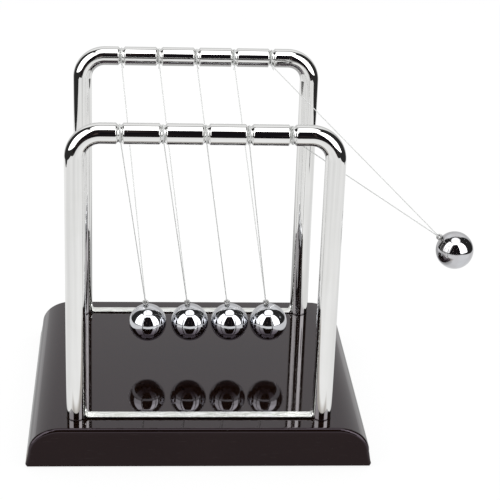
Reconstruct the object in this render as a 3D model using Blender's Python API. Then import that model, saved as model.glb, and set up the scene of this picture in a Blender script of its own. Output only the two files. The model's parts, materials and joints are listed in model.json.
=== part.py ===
"""Five-ball Newton's cradle for a desk.

A hollow moulded base carries two chromed tube frames.  Five steel balls hang
between the frames on V-shaped nylon lines, so every ball swings about the
straight line that joins its front and rear rail grooves.

Metres, +Z up.  The origin is the centre of the underside, where the object
rests.  +X runs along the rails (the row of balls), -Y is the front.
The row is modelled in mid sway, with the ball at the +X end lifted.
"""
import bpy
import bmesh
from math import sin, cos, pi, radians, sqrt, atan2
from mathutils import Vector, Matrix

MM = 0.001

# ------------------------------------------------------- driving dimensions
# base
BASE_W = 180.0 * MM          # width at the underside, along the rails
BASE_D = 161.2 * MM          # depth, front to rear
BASE_TOP = 22.5 * MM         # height of the flat top above the desk
BASE_BOTTOM = 0.8 * MM       # lower rim of the shell, above the desk
BASE_INSET = 1.6 * MM        # draft of the short upright part of each side
ROUND_X = 17.0 * MM          # rounded side, horizontal radius
ROUND_Z = 13.5 * MM          # rounded side, vertical radius
BASE_WALL = 2.6 * MM
CEILING_Z = BASE_TOP - BASE_WALL
# frames
TUBE_R = 5.19 * MM
TUBE_WALL = 0.9 * MM
POST_X = 63.9 * MM           # half the distance between the two posts
FRAME_Y = 68.4 * MM          # distance of each rail from the middle
FOOT_Y = 66.2 * MM           # distance of the post feet: the frames lean out a little
RAIL_Z = BASE_TOP + 155.4 * MM
FOOT_GAP = 0.15 * MM
FOOT_Z = BASE_TOP + FOOT_GAP  # cut ends of the posts
GROOVE_R = 4.1 * MM          # tube radius at the bottom of a groove
# balls and lines
COUNT = 5
PITCH = 21.0 * MM            # distance between grooves
BALL_R = 10.37 * MM
LINE_R = 0.2 * MM
PIVOT_ANGLE = radians(35)    # where a line leaves the rail, below its inner side
PIVOT_R = TUBE_R + 0.3 * MM
PIVOT_Y = FRAME_Y - PIVOT_R * cos(PIVOT_ANGLE)
PIVOT_Z = RAIL_Z - PIVOT_R * sin(PIVOT_ANGLE)
SWING_L = 129.9 * MM         # swing axis to ball centre
LAST_SWING_L = 130.4 * MM    # the last line was tied a little longer
# Modelled pose, one row per ball from -X to +X: swing length, then the angle
# from plumb towards +X, in degrees, of the ball with its line and of the knots
HANGERS = (
    (SWING_L, 6.8, 7.7),
    (SWING_L, 7.7, 7.7),
    (SWING_L, 8.15, 8.15),
    (SWING_L, 8.4, 8.4),
    (LAST_SWING_L, 49.45, 8.4),
)

# X sign, Y sign and name of each corner of the base
CORNERS = (
    (-1, -1, "front_left"),
    (-1, 1, "rear_left"),
    (1, -1, "front_right"),
    (1, 1, "rear_right"),
)
# name and Y sign of each frame
ENDS = (("front", -1), ("rear", 1))

for old in list(bpy.data.objects):
    bpy.data.objects.remove(old, do_unlink=True)


# ------------------------------------------------------------------ materials
def material(name, colour, roughness, metallic, transmission=0.0):
    mat = bpy.data.materials.new(name)
    mat.use_nodes = True
    inputs = mat.node_tree.nodes["Principled BSDF"].inputs
    inputs["Base Color"].default_value = (*colour, 1.0)
    inputs["Roughness"].default_value = roughness
    inputs["Metallic"].default_value = metallic
    inputs["Transmission Weight"].default_value = transmission
    return mat


BLACK = material("black_gloss_plastic", colour=(0.012, 0.010, 0.011), roughness=0.16, metallic=0.0)
BLACK_MATT = material("black_moulded_plastic", colour=(0.02, 0.02, 0.021), roughness=0.5,
                      metallic=0.0)
RUBBER = material("black_rubber_sheet", colour=(0.018, 0.018, 0.018), roughness=0.95, metallic=0.0)
CHROME = material("chromed_tube", colour=(0.86, 0.86, 0.87), roughness=0.04, metallic=1.0)
STEEL = material("polished_steel", colour=(0.80, 0.80, 0.81), roughness=0.03, metallic=1.0)
NYLON = material("nylon_line", colour=(0.86, 0.87, 0.86), roughness=0.25, metallic=0.0,
                 transmission=0.5)
ZINC = material("zinc_plated_steel", colour=(0.62, 0.62, 0.60), roughness=0.35, metallic=1.0)
BRASS = material("brass_plug", colour=(0.72, 0.56, 0.30), roughness=0.32, metallic=1.0)


# -------------------------------------------------------------------- helpers
def finish(name, mesh, mat, origin=(0, 0, 0), sharp_angle=40):
    """Turn a bmesh into an object whose own origin is at the given point."""
    bmesh.ops.recalc_face_normals(mesh, faces=mesh.faces)
    origin = Vector(origin)
    bmesh.ops.translate(mesh, vec=-origin, verts=mesh.verts)
    data = bpy.data.meshes.new(name)
    mesh.to_mesh(data)
    mesh.free()
    data.shade_smooth()
    data.set_sharp_from_angle(angle=radians(sharp_angle))
    if mat:
        data.materials.append(mat)
    obj = bpy.data.objects.new(name, data)
    obj.location = origin
    bpy.context.scene.collection.objects.link(obj)
    return obj


def boolean(obj, operation, tool_name, mesh, origin=(0, 0, 0)):
    """Make a hidden tool from a bmesh and combine it with the object."""
    tool = finish(tool_name, mesh, None, origin)
    tool.hide_render = True
    tool.display_type = 'WIRE'
    mod = obj.modifiers.new(operation.lower() + "_" + tool.name, 'BOOLEAN')
    mod.operation = operation
    mod.solver = 'EXACT'
    mod.object = tool


def sweep(mesh, points, radii, sides, up=Vector((0, 1, 0)), closed=False):
    """Tube skin along a path that stays in a plane normal to `up`, or near
    enough.  `radii` is one radius or a list with one per point.  A closed path
    makes a ring; any other gets flat ends."""
    count = len(points)
    if not isinstance(radii, list):
        radii = [radii] * count
    rings = []
    for i, (point, radius) in enumerate(zip(points, radii)):
        before = points[(i - 1) % count] if (closed or i > 0) else point
        after = points[(i + 1) % count] if (closed or i < count - 1) else point
        tangent = (Vector(after) - Vector(before)).normalized()
        across = (up - tangent * up.dot(tangent)).normalized()
        third = tangent.cross(across)
        rings.append([mesh.verts.new(Vector(point) + radius * (cos(2 * pi * k / sides) * across
                                                               + sin(2 * pi * k / sides) * third))
                      for k in range(sides)])
    for i in range(count if closed else count - 1):
        ring, following = rings[i], rings[(i + 1) % count]
        for k in range(sides):
            j = (k + 1) % sides
            mesh.faces.new((ring[k], ring[j], following[j], following[k]))
    if not closed:
        mesh.faces.new(list(reversed(rings[0])))
        mesh.faces.new(rings[-1])


def lathe(mesh, profile, sides, centre=(0, 0, 0)):
    """Turn a profile of (radius, height) pairs about the vertical through
    `centre`; a radius of zero closes the skin at a pole."""
    centre = Vector(centre)
    rings = []
    for radius, z in profile:
        if radius <= 0:
            rings.append([mesh.verts.new(centre + Vector((0, 0, z)))])
        else:
            rings.append([mesh.verts.new(centre + Vector((radius * cos(2 * pi * k / sides),
                                                          radius * sin(2 * pi * k / sides), z)))
                          for k in range(sides)])
    for ring, following in zip(rings, rings[1:]):
        for k in range(sides):
            j = (k + 1) % sides
            if len(ring) == 1:
                mesh.faces.new((ring[0], following[j], following[k]))
            elif len(following) == 1:
                mesh.faces.new((ring[k], ring[j], following[0]))
            else:
                mesh.faces.new((ring[k], ring[j], following[j], following[k]))


def cylinder(mesh, radius, low, high, sides, x, y):
    lathe(mesh, [(0, low), (radius, low), (radius, high), (0, high)], sides, (x, y, 0))


def prism(mesh, outline, axis, low, high):
    """Extrude a closed outline along Y or Z; outline pairs are the other
    two coordinates in X, Y, Z order."""
    def cap(level):
        if axis == 'Y':
            return [mesh.verts.new((a, level, b)) for a, b in outline]
        return [mesh.verts.new((a, b, level)) for a, b in outline]

    start, end = cap(low), cap(high)
    count = len(outline)
    for k in range(count):
        j = (k + 1) % count
        mesh.faces.new((start[k], start[j], end[j], end[k]))
    mesh.faces.new(list(reversed(start)))
    mesh.faces.new(end)


def with_mirror(points):
    """The +X half of an outline, followed by its mirror image in X = 0."""
    return points + [(-x, z) for x, z in reversed(points)]


def rounded_rect(half_x, half_y, radius, steps):
    points = []
    for sign_x, sign_y, start in ((1, 1, 0), (-1, 1, 90), (-1, -1, 180), (1, -1, 270)):
        for i in range(steps + 1):
            angle = radians(start + 90 * i / steps)
            points.append((sign_x * (half_x - radius) + radius * cos(angle),
                           sign_y * (half_y - radius) + radius * sin(angle)))
    return points


# ----------------------------------------------------------------------- base
COVER_Z = 1.2 * MM                            # underside of the cover plate
COVER_T = 2.0 * MM
COVER_TOP = COVER_Z + COVER_T
SCREW_X, SCREW_Y = 50.0 * MM, 55.0 * MM       # cover screws
MOULDED_TOP = CEILING_Z + 0.5 * MM            # bosses, pads and ribs reach into the top wall
BOSS_R = 3.6 * MM
BOSS_GAP = 0.3 * MM                           # cover plate to boss
BOSS_BORE_R = 1.25 * MM
BOSS_BORE_LOW, BOSS_BORE_HIGH = 2 * MM, 14 * MM
PAD_R = 6.0 * MM                              # round pad under each post
PAD_LOW = CEILING_Z - 1.6 * MM
POST_HOLE_R = 2.3 * MM
POST_HOLE_LOW = 12 * MM                       # in the hollow, below the pads
RIB_HALF = 0.8 * MM                           # half the rib's thickness
RIB_HEIGHT = 7 * MM
OVERCUT = 2 * MM                              # cutting tools reach past the shell
EDGE_BEVEL = 0.6 * MM


def side_profile(offset, low, steps):
    """The base's outline seen from the front, moved inwards by `offset`."""
    round_x = BASE_W / 2 - BASE_INSET - ROUND_X
    round_z = BASE_TOP - ROUND_Z
    half_bottom = BASE_W / 2 - BASE_INSET * low / round_z
    points = [(half_bottom - offset, low)]
    for i in range(steps + 1):
        angle = pi / 2 * i / steps
        points.append((round_x + (ROUND_X - offset) * cos(angle),
                       round_z + (ROUND_Z - offset) * sin(angle)))
    return with_mirror(points)


def make_base_shell():
    mesh = bmesh.new()
    prism(mesh, side_profile(0.0, BASE_BOTTOM, 8), 'Y', -BASE_D / 2, BASE_D / 2)
    base = finish("base_shell", mesh, BLACK)
    bevel = base.modifiers.new("softened_edges", 'BEVEL')
    bevel.width = EDGE_BEVEL
    bevel.segments = 2
    bevel.limit_method = 'ANGLE'
    bevel.angle_limit = radians(40)

    # the hollow under the shell, open downwards
    mesh = bmesh.new()
    prism(mesh, side_profile(BASE_WALL, BASE_BOTTOM - OVERCUT, 6), 'Y',
          -BASE_D / 2 + BASE_WALL, BASE_D / 2 - BASE_WALL)
    boolean(base, 'DIFFERENCE', "base_hollow_tool", mesh)

    # bosses, pads and ribs moulded under the top
    mesh = bmesh.new()
    for side_x, side_y, _ in CORNERS:
        cylinder(mesh, BOSS_R, COVER_TOP + BOSS_GAP, MOULDED_TOP, 12,
                 side_x * SCREW_X, side_y * SCREW_Y)
    boolean(base, 'UNION', "cover_boss_tool", mesh)

    mesh = bmesh.new()
    for side_x, side_y, _ in CORNERS:
        cylinder(mesh, PAD_R, PAD_LOW, MOULDED_TOP, 12, side_x * POST_X, side_y * FOOT_Y)
    boolean(base, 'UNION', "post_pad_tool", mesh)

    mesh = bmesh.new()
    rib_low = CEILING_Z - RIB_HEIGHT
    for x in (-SCREW_X, SCREW_X):
        prism(mesh, [(x - RIB_HALF, rib_low), (x + RIB_HALF, rib_low),
                     (x + RIB_HALF, MOULDED_TOP), (x - RIB_HALF, MOULDED_TOP)],
              'Y', -SCREW_Y, SCREW_Y)
    boolean(base, 'UNION', "rib_tool", mesh)

    # holes: through the top under each post, and blind up the cover bosses
    mesh = bmesh.new()
    for side_x, side_y, _ in CORNERS:
        cylinder(mesh, POST_HOLE_R, POST_HOLE_LOW, BASE_TOP + OVERCUT, 12,
                 side_x * POST_X, side_y * FOOT_Y)
        cylinder(mesh, BOSS_BORE_R, BOSS_BORE_LOW, BOSS_BORE_HIGH, 10,
                 side_x * SCREW_X, side_y * SCREW_Y)
    boolean(base, 'DIFFERENCE', "base_hole_tool", mesh)


# ------------------------------------------------------- cover and rubber sheet
COVER_GAP_X, COVER_GAP_Y = 1.0 * MM, 0.3 * MM  # cover's edge to the shell's wall
COVER_CORNER_R = 1.5 * MM
SINK_RIM = 0.15 * MM         # countersinks and their screws: straight rim, then
SINK_DEPTH = 1.7 * MM        # a cone that ends this far up
COVER_SINK_R = 3.15 * MM
COVER_HOLE_R = 1.5 * MM
SHEET_HALF_X, SHEET_HALF_Y = 82 * MM, 72.5 * MM
SHEET_CORNER_R = 6 * MM
SHEET_GAP = 0.15 * MM        # rubber sheet to cover


def make_bottom_cover():
    mesh = bmesh.new()
    prism(mesh, rounded_rect(BASE_W / 2 - BASE_WALL - COVER_GAP_X,
                             BASE_D / 2 - BASE_WALL - COVER_GAP_Y, COVER_CORNER_R, 2),
          'Z', COVER_Z, COVER_TOP)
    cover = finish("bottom_cover", mesh, BLACK_MATT)
    low, high = COVER_Z - 0.5 * MM, COVER_TOP + 1 * MM   # past both faces
    mesh = bmesh.new()
    for side_x, side_y, _ in CORNERS:
        lathe(mesh, [(0, low), (COVER_SINK_R, low), (COVER_SINK_R, COVER_Z + SINK_RIM),
                     (COVER_HOLE_R, COVER_Z + SINK_DEPTH), (COVER_HOLE_R, high), (0, high)],
              12, (side_x * SCREW_X, side_y * SCREW_Y, 0))
    boolean(cover, 'DIFFERENCE', "cover_hole_tool", mesh)


def make_base_pad():
    """Thin non-slip rubber sheet under the cover."""
    mesh = bmesh.new()
    prism(mesh, rounded_rect(SHEET_HALF_X, SHEET_HALF_Y, SHEET_CORNER_R, 4),
          'Z', 0.0, COVER_Z - SHEET_GAP)
    finish("base_pad", mesh, RUBBER)


# ------------------------------------------------------------ screws and plugs
COVER_HEAD_Z = COVER_Z + 0.2 * MM    # face of the cover screw's head
COVER_HEAD_R = 2.75 * MM
COVER_SHANK_R = 1.1 * MM
COVER_SHANK_TOP, COVER_TIP_Z = 11.2 * MM, 12.2 * MM
COVER_CROSS_W, COVER_CROSS_DEPTH = 2.8 * MM, 0.9 * MM

SEAT_Z = PAD_LOW - 0.1 * MM          # upper side of the frame screw's head
PAN_HEIGHT = 2.4 * MM
PAN_RIM = 1.5 * MM                   # height of the head's straight rim
PAN_FACE_R, PAN_R = 2.9 * MM, 3.9 * MM
FRAME_SHANK_R, FRAME_TIP_R = 1.8 * MM, 1.3 * MM
FRAME_SHANK_TOP, FRAME_TIP_Z = BASE_TOP + 9.4 * MM, BASE_TOP + 10 * MM
FRAME_CROSS_W, FRAME_CROSS_DEPTH = 3.8 * MM, 1.3 * MM
CROSS_ARM = 0.45 * MM                # half the width of a cross recess's arm

PLUG_BORE_R = 2.1 * MM
PLUG_R = TUBE_R - TUBE_WALL - 0.3 * MM
PLUG_LOW, PLUG_HIGH = BASE_TOP + 0.8 * MM, BASE_TOP + 12.8 * MM
PLUG_CHAMFER_R, PLUG_CHAMFER_Z = 0.3 * MM, 0.5 * MM


def cut_cross_recess(screw, tool_name, x, y, width, depth, head_z):
    """Cut a cross recess into a screw head from below."""
    arm, reach = CROSS_ARM, width / 2
    cross = [(reach, -arm), (reach, arm), (arm, arm), (arm, reach), (-arm, reach), (-arm, arm),
             (-reach, arm), (-reach, -arm), (-arm, -arm), (-arm, -reach), (arm, -reach),
             (arm, -arm)]
    mesh = bmesh.new()
    prism(mesh, [(x + dx, y + dy) for dx, dy in cross], 'Z', head_z - 1 * MM, head_z + depth)
    boolean(screw, 'DIFFERENCE', tool_name, mesh)


def make_cover_screw(corner, x, y):
    """Countersunk screw, head down."""
    rim_z, cone_z = COVER_HEAD_Z + SINK_RIM, COVER_HEAD_Z + SINK_DEPTH
    mesh = bmesh.new()
    lathe(mesh, [(0, COVER_HEAD_Z), (COVER_HEAD_R, COVER_HEAD_Z), (COVER_HEAD_R, rim_z),
                 (COVER_SHANK_R, cone_z), (COVER_SHANK_R, COVER_SHANK_TOP), (0, COVER_TIP_Z)],
          12, (x, y, 0))
    screw = finish("cover_screw_" + corner, mesh, ZINC)
    cut_cross_recess(screw, "cover_recess_tool_" + corner, x, y,
                     COVER_CROSS_W, COVER_CROSS_DEPTH, COVER_HEAD_Z)


def make_frame_screw(corner, x, y):
    """Pan-head screw, up through the top into the post's plug."""
    head_z = SEAT_Z - PAN_HEIGHT
    mesh = bmesh.new()
    lathe(mesh, [(0, head_z), (PAN_FACE_R, head_z), (PAN_R, SEAT_Z - PAN_RIM), (PAN_R, SEAT_Z),
                 (FRAME_SHANK_R, SEAT_Z), (FRAME_SHANK_R, FRAME_SHANK_TOP),
                 (FRAME_TIP_R, FRAME_TIP_Z), (0, FRAME_TIP_Z)], 12, (x, y, 0))
    screw = finish("frame_screw_" + corner, mesh, ZINC)
    cut_cross_recess(screw, "frame_recess_tool_" + corner, x, y,
                     FRAME_CROSS_W, FRAME_CROSS_DEPTH, head_z)


def make_post_plug(corner, x, y):
    """Plug in the post's lower end: a short turned sleeve."""
    end_r = PLUG_R - PLUG_CHAMFER_R
    mesh = bmesh.new()
    lathe(mesh, [(PLUG_BORE_R, PLUG_LOW), (end_r, PLUG_LOW), (PLUG_R, PLUG_LOW + PLUG_CHAMFER_Z),
                 (PLUG_R, PLUG_HIGH - PLUG_CHAMFER_Z), (end_r, PLUG_HIGH),
                 (PLUG_BORE_R, PLUG_HIGH), (PLUG_BORE_R, PLUG_LOW)], 12, (x, y, 0))
    # the profile ends where it began: join the two rings there
    bmesh.ops.remove_doubles(mesh, verts=mesh.verts, dist=1e-7)
    finish("post_plug_" + corner, mesh, BRASS)


# --------------------------------------------------------------------- frames
BEND_R = 12.6 * MM           # bend radius at the tube's centre
BEND_STEPS = 6
GROOVE_HALF = 2.0 * MM       # half the groove's width
FLANK_R = GROOVE_R + 0.28 * MM  # tube radius halfway up a groove's flank
BORE_OVERCUT = 3 * MM        # the bore tool reaches below the feet
BAR_DEPTH = 5.8 * MM         # flat tie strip between the feet
BAR_HEIGHT = 0.7 * MM
BAR_LIFT = 0.45 * MM         # its underside, above the posts' cut ends
FILLET_X = 2.4 * MM          # brazed fillet at each end of the strip
FILLET_Z = 4.2 * MM
FILLET_STEPS = 5
FILLET_BITE = 0.2 * MM       # the fillet's curve runs this far into the post

# distance along the rail from a groove's middle, tube radius there
GROOVE = (
    (-GROOVE_HALF, TUBE_R),
    (-0.5 * GROOVE_HALF, FLANK_R),
    (0, GROOVE_R),
    (0.5 * GROOVE_HALF, FLANK_R),
    (GROOVE_HALF, TUBE_R),
)


def groove_x(i):
    return (i - (COUNT - 1) / 2) * PITCH


def frame_path(foot_z):
    """Centre line of the bent tube from the left foot to the right one, as
    (x, z, outer radius)."""
    bend_x, bend_z = POST_X - BEND_R, RAIL_Z - BEND_R
    path = [(-POST_X, foot_z, TUBE_R), (-POST_X, bend_z, TUBE_R)]
    for i in range(1, BEND_STEPS + 1):
        angle = pi - pi / 2 * i / BEND_STEPS
        path.append((-bend_x + BEND_R * cos(angle), bend_z + BEND_R * sin(angle), TUBE_R))
    for i in range(COUNT):
        path += [(groove_x(i) + dx, RAIL_Z, radius) for dx, radius in GROOVE]
    for i in range(BEND_STEPS + 1):
        angle = pi / 2 - pi / 2 * i / BEND_STEPS
        path.append((bend_x + BEND_R * cos(angle), bend_z + BEND_R * sin(angle), TUBE_R))
    path.append((POST_X, foot_z, TUBE_R))
    return path


def frame_tube(side, foot_z, inset, sides):
    """Mesh of the leaning tube, its radius reduced by `inset`."""
    path = frame_path(foot_z)
    lean = (FRAME_Y - FOOT_Y) / (RAIL_Z - FOOT_Z)
    mesh = bmesh.new()
    sweep(mesh, [(x, side * (FOOT_Y + (z - FOOT_Z) * lean), z) for x, z, _ in path],
          [radius - inset for _, _, radius in path], sides)
    return mesh


def bar_outline():
    """Tie strip from post to post, seen from the front: its ends lie inside
    the posts, and a fillet climbs the inner side of each post."""
    low = FOOT_Z + BAR_LIFT
    top = low + BAR_HEIGHT
    inner = POST_X - TUBE_R
    half = [(POST_X, low), (POST_X, top + FILLET_Z), (inner + FILLET_BITE, top + FILLET_Z)]
    for i in range(1, FILLET_STEPS):
        angle = pi / 2 * i / FILLET_STEPS
        half.append((inner - FILLET_X + FILLET_X * cos(angle) + FILLET_BITE,
                     top + FILLET_Z - FILLET_Z * sin(angle)))
    half.append((inner - FILLET_X, top))
    return with_mirror(half)


def make_frame(end, side):
    name = end + "_frame"
    frame = finish(name, frame_tube(side, FOOT_Z, 0.0, 16), CHROME, (0, side * FRAME_Y, RAIL_Z))
    mesh = bmesh.new()
    prism(mesh, bar_outline(), 'Y', side * FOOT_Y - BAR_DEPTH / 2, side * FOOT_Y + BAR_DEPTH / 2)
    boolean(frame, 'UNION', name + "_bar_tool", mesh)
    # bore of the tube, open at both feet
    boolean(frame, 'DIFFERENCE', name + "_bore_tool",
            frame_tube(side, FOOT_Z - BORE_OVERCUT, TUBE_WALL, 12))


# ---------------------------------------------------------- balls and eyelets
BORE_R = 1.05 * MM
SINK_R = 1.55 * MM           # countersunk mouth of the bore
SINK_HEIGHT = 0.75 * MM
BORE_DEPTH = 5.0 * MM
BALL_ROWS = 11
EYE_MAJOR = 1.3 * MM         # eyelet ring, centre line radius
EYE_WIRE = 0.45 * MM         # radius of its wire
EYE_STEPS = 12
EYE_HEIGHT = 1.45 * MM       # ring centre above the ball's surface
SHANK_R = 0.8 * MM
SHANK_GAP = 0.5 * MM         # shank's end above the height BORE_DEPTH under the ball's top
SHANK_BITE = 0.05 * MM       # shank's top above the ring's lowest centre-line point


def hang(mesh, pivot, angle):
    """Turn a piece that was built hanging plumb about its swing axis."""
    bmesh.ops.rotate(mesh, cent=pivot, verts=mesh.verts, matrix=Matrix.Rotation(-angle, 3, 'Y'))


def make_ball(number, pivot, ball_z, sway):
    """Turned sphere with a blind bore in its top."""
    mouth_angle = atan2(SINK_R, sqrt(BALL_R ** 2 - SINK_R ** 2))
    mouth = BALL_R * cos(mouth_angle)
    profile = [(0, mouth - BORE_DEPTH), (BORE_R, mouth - BORE_DEPTH),
               (BORE_R, mouth - SINK_HEIGHT), (SINK_R, mouth)]
    for k in range(1, BALL_ROWS):
        angle = mouth_angle + (pi - mouth_angle) * k / BALL_ROWS
        profile.append((BALL_R * sin(angle), BALL_R * cos(angle)))
    profile.append((0, -BALL_R))
    mesh = bmesh.new()
    lathe(mesh, profile, 20, (pivot.x, 0, ball_z))
    hang(mesh, pivot, sway)
    finish("ball_%d" % number, mesh, STEEL, pivot, sharp_angle=50)


def make_eyelet(number, pivot, ball_z, eye_z, sway):
    """Wire ring facing the frames, on a shank that stands in the bore."""
    angles = [2 * pi * k / EYE_STEPS for k in range(EYE_STEPS)]
    mesh = bmesh.new()
    sweep(mesh, [(pivot.x + EYE_MAJOR * sin(a), 0, eye_z + EYE_MAJOR * cos(a)) for a in angles],
          EYE_WIRE, 6, closed=True)
    hang(mesh, pivot, sway)
    eyelet = finish("eyelet_%d" % number, mesh, ZINC, pivot, sharp_angle=60)
    mesh = bmesh.new()
    cylinder(mesh, SHANK_R, ball_z + BALL_R - BORE_DEPTH + SHANK_GAP,
             eye_z - EYE_MAJOR + SHANK_BITE, 8, pivot.x, 0)
    hang(mesh, pivot, sway)
    boolean(eyelet, 'UNION', "eyelet_shank_tool_%d" % number, mesh, pivot)


# ---------------------------------------------------------------------- lines
ALONG_X = Vector((1, 0, 0))
EYE_CLEARANCE = 0.08 * MM    # line to the ring's wire
KNOT_R = 0.6 * MM
KNOT_CLEARANCE = 0.12 * MM   # knot to the end of the line
TAG_LEN = 3.4 * MM           # cut end of the line, measured from the knot's centre
TAG_LEAN_X, TAG_OUT_Y, TAG_DOWN_Z = 0.22, 0.38, -0.9   # direction of the cut end
# the line's turn under the ring: an outer point slightly below the straight
# run, and an inner point just above the apex
TURN_OUTER_Y, TURN_OUTER_DROP = 1.4 * MM, 0.25 * MM
TURN_INNER_Y, TURN_INNER_RISE = 0.5 * MM, 0.12 * MM
WINDING_R = GROOVE_R + 0.3 * MM + LINE_R
WINDING_STEPS = 16           # per turn
WINDING_TURNS = 1.25
WINDING_PITCH = 0.62 * MM
WINDING_START = radians(-45)  # from the rail's inner side; negative is below it


def make_line(number, pivot, eye_z, sway):
    """From near the front knot, through the eyelet, to near the rear knot."""
    apex = eye_z + EYE_MAJOR - EYE_WIRE - LINE_R - EYE_CLEARANCE
    run = Vector((0, PIVOT_Y, PIVOT_Z - apex))
    start = (KNOT_R + KNOT_CLEARANCE) * run.normalized()
    front = [
        Vector((pivot.x, start.y - PIVOT_Y, PIVOT_Z - start.z)),
        Vector((pivot.x, -TURN_OUTER_Y, apex + TURN_OUTER_Y * run.z / run.y - TURN_OUTER_DROP)),
        Vector((pivot.x, -TURN_INNER_Y, apex + TURN_INNER_RISE)),
    ]
    rear = [Vector((p.x, -p.y, p.z)) for p in reversed(front)]
    mesh = bmesh.new()
    sweep(mesh, front + [Vector((pivot.x, 0, apex))] + rear, LINE_R, 6, up=ALONG_X)
    hang(mesh, pivot, sway)
    finish("line_%d" % number, mesh, NYLON, pivot, sharp_angle=60)


def make_winding(number, end, side, x):
    """Turns of line in the rail's groove."""
    rail_y = side * FRAME_Y
    coil = []
    for k in range(round(WINDING_STEPS * WINDING_TURNS) + 1):
        turn = k / WINDING_STEPS
        angle = WINDING_START + 2 * pi * turn
        coil.append(Vector((x + (turn - WINDING_TURNS / 2) * WINDING_PITCH,
                            rail_y - side * WINDING_R * cos(angle),
                            RAIL_Z + WINDING_R * sin(angle))))
    mesh = bmesh.new()
    sweep(mesh, coil, LINE_R, 5, up=ALONG_X)
    finish("%s_winding_%d" % (end, number), mesh, NYLON, (x, rail_y, RAIL_Z), sharp_angle=60)


def make_knot(number, end, side, pivot, sway):
    """Knot on the swing axis, with the cut end of the line standing out of it,
    downwards and away from the taut run."""
    neck = atan2(LINE_R, sqrt(KNOT_R ** 2 - LINE_R ** 2))
    profile = [(0, -KNOT_R)]
    for k in range(1, 5):
        angle = pi - (pi - neck) * k / 4
        profile.append((KNOT_R * sin(angle), KNOT_R * cos(angle)))
    profile += [(LINE_R, TAG_LEN), (0, TAG_LEN)]
    mesh = bmesh.new()
    lathe(mesh, profile, 8)
    # the cut ends lean to +X and -X by turns along the row
    lean = TAG_LEAN_X if number % 2 else -TAG_LEAN_X
    aim = Vector((lean, side * TAG_OUT_Y, TAG_DOWN_Z)).normalized()
    bmesh.ops.rotate(mesh, cent=(0, 0, 0), verts=mesh.verts,
                     matrix=aim.to_track_quat('Z', 'Y').to_matrix())
    bmesh.ops.translate(mesh, vec=Vector((pivot.x, side * PIVOT_Y, PIVOT_Z)), verts=mesh.verts)
    hang(mesh, pivot, sway)
    finish("%s_knot_%d" % (end, number), mesh, NYLON, pivot, sharp_angle=60)


# ------------------------------------------------------------------- assembly
make_base_shell()
make_bottom_cover()
make_base_pad()

for side_x, side_y, corner in CORNERS:
    make_cover_screw(corner, side_x * SCREW_X, side_y * SCREW_Y)
    make_frame_screw(corner, side_x * POST_X, side_y * FOOT_Y)
    make_post_plug(corner, side_x * POST_X, side_y * FOOT_Y)

for end, side in ENDS:
    make_frame(end, side)

for i, (swing_length, ball_sway, knot_sway) in enumerate(HANGERS):
    number = i + 1
    pivot = Vector((groove_x(i), 0, PIVOT_Z))
    ball_z = PIVOT_Z - swing_length
    eye_z = ball_z + BALL_R + EYE_HEIGHT
    make_ball(number, pivot, ball_z, radians(ball_sway))
    make_eyelet(number, pivot, ball_z, eye_z, radians(ball_sway))
    make_line(number, pivot, eye_z, radians(ball_sway))
    for end, side in ENDS:
        make_winding(number, end, side, pivot.x)
        make_knot(number, end, side, pivot, radians(knot_sway))
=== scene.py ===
# Newton's cradle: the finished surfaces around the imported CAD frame.
# Five balls hang on nylon lines between two bent tube frames on a black base.
# Metres, +Z up, +X along the rails, -Y is the front.
import bpy
import bmesh
import json
from math import sin, cos, tan, pi, radians, sqrt, atan2, acos, asin, exp
from mathutils import Vector, Matrix


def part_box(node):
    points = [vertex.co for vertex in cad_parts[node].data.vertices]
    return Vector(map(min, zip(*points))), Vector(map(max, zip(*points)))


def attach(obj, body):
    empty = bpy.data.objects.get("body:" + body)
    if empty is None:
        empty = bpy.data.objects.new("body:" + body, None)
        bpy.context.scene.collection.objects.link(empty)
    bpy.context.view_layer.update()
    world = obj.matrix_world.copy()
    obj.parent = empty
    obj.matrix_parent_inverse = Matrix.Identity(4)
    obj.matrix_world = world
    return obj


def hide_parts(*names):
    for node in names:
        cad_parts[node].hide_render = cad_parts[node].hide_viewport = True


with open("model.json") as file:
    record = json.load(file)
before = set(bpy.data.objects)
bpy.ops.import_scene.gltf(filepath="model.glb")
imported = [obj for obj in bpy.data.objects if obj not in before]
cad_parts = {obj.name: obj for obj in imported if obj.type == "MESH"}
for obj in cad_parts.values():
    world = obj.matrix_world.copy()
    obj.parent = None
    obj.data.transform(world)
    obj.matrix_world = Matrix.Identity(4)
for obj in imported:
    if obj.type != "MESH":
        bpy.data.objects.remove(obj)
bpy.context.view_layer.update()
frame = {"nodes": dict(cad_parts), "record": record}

MM = 0.001

# ------------------------------------------------------------------ dimensions
front_low, front_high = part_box("front_frame")
_, rear_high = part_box("rear_frame")
base_low, base_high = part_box("base_shell")

TUBE_RADIUS = 5.19 * MM
TUBE_WALL = 0.9 * MM
TUBE_MIN_BORE = 2.9 * MM                    # radius of the bore under the grooves
BEND_RADIUS = 12.6 * MM
RAIL_Y = rear_high.y - TUBE_RADIUS          # rails, from the middle
FOOT_Y = 66.2 * MM                          # feet: the frames lean a little
POST_X = (front_high.x - front_low.x) / 2 - TUBE_RADIUS
RAIL_Z = front_high.z - TUBE_RADIUS
FOOT_Z = front_low.z
GROOVE_RADIUS = 4.1 * MM
GROOVE_HALF_WIDTH = 2.05 * MM

BASE_DEPTH = base_high.y - base_low.y
BASE_HALF_WIDTH = 90.0 * MM                 # at z = 0; the ends lean inwards above
BASE_TOP = base_high.z
BASE_BOTTOM = base_low.z

BALLS = range(1, 6)                         # numbered from one end of the row
BALL_RADIUS = 10.37 * MM
SWING_RADIUS = {1: 129.9 * MM, 2: 129.9 * MM, 3: 129.9 * MM, 4: 129.9 * MM, 5: 130.4 * MM}
LINE_RADIUS = 0.2 * MM
LINE_SKIN_RADIUS = 0.26 * MM                # of the long free runs
WOUND_RADIUS = 0.95 * LINE_RADIUS           # of the windings and cut tails

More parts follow.
